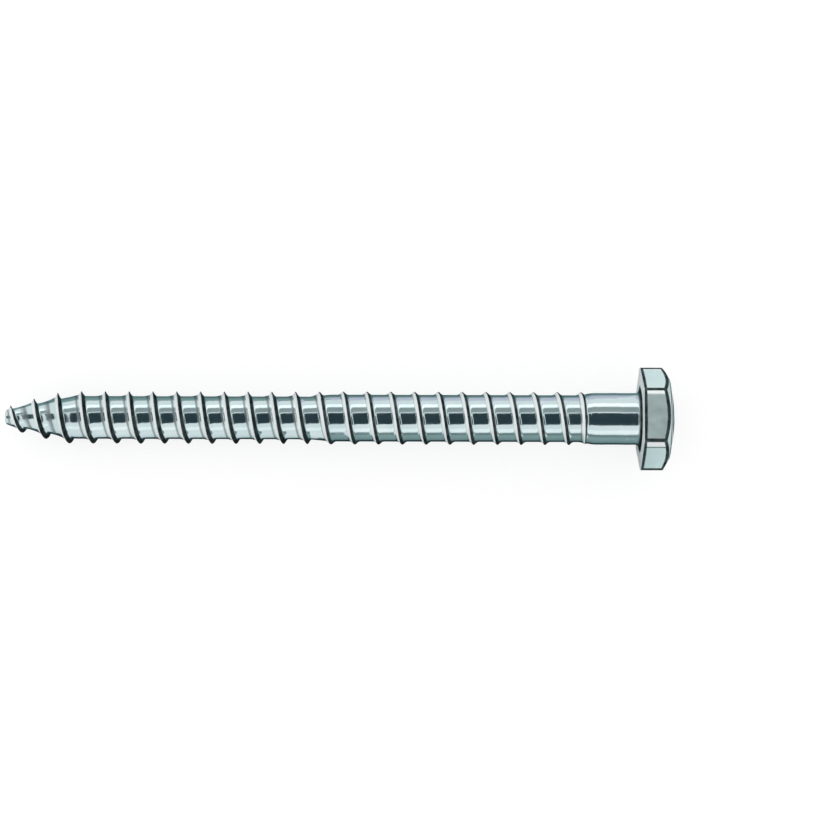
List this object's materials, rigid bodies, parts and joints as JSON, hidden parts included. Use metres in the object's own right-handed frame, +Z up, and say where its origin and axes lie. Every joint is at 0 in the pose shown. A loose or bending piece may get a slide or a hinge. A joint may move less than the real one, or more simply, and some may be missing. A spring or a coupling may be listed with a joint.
{
  "type": "lag screw",
  "caption": "Hexagon-head wood screw with a coarse thread, plain shank under the head and tapering blunt point, lying on its side.",
  "frame": {"origin": "centre of the bearing face under the head, on the screw's axis, with the screw lying at rest", "axes": "+X level, from the point towards the head, 1.9 degrees off the screw's axis, which slopes down to the point; +Z up; one flat of the head faces the floor"},
  "size_m": [0.1266, 0.0196, 0.0172],
  "materials": {
    "zinc_plated_steel": "bright zinc plated"
  },
  "bodies": {
    "root": {"lag_screw": "zinc_plated_steel"}
  },
  "joints": []
}
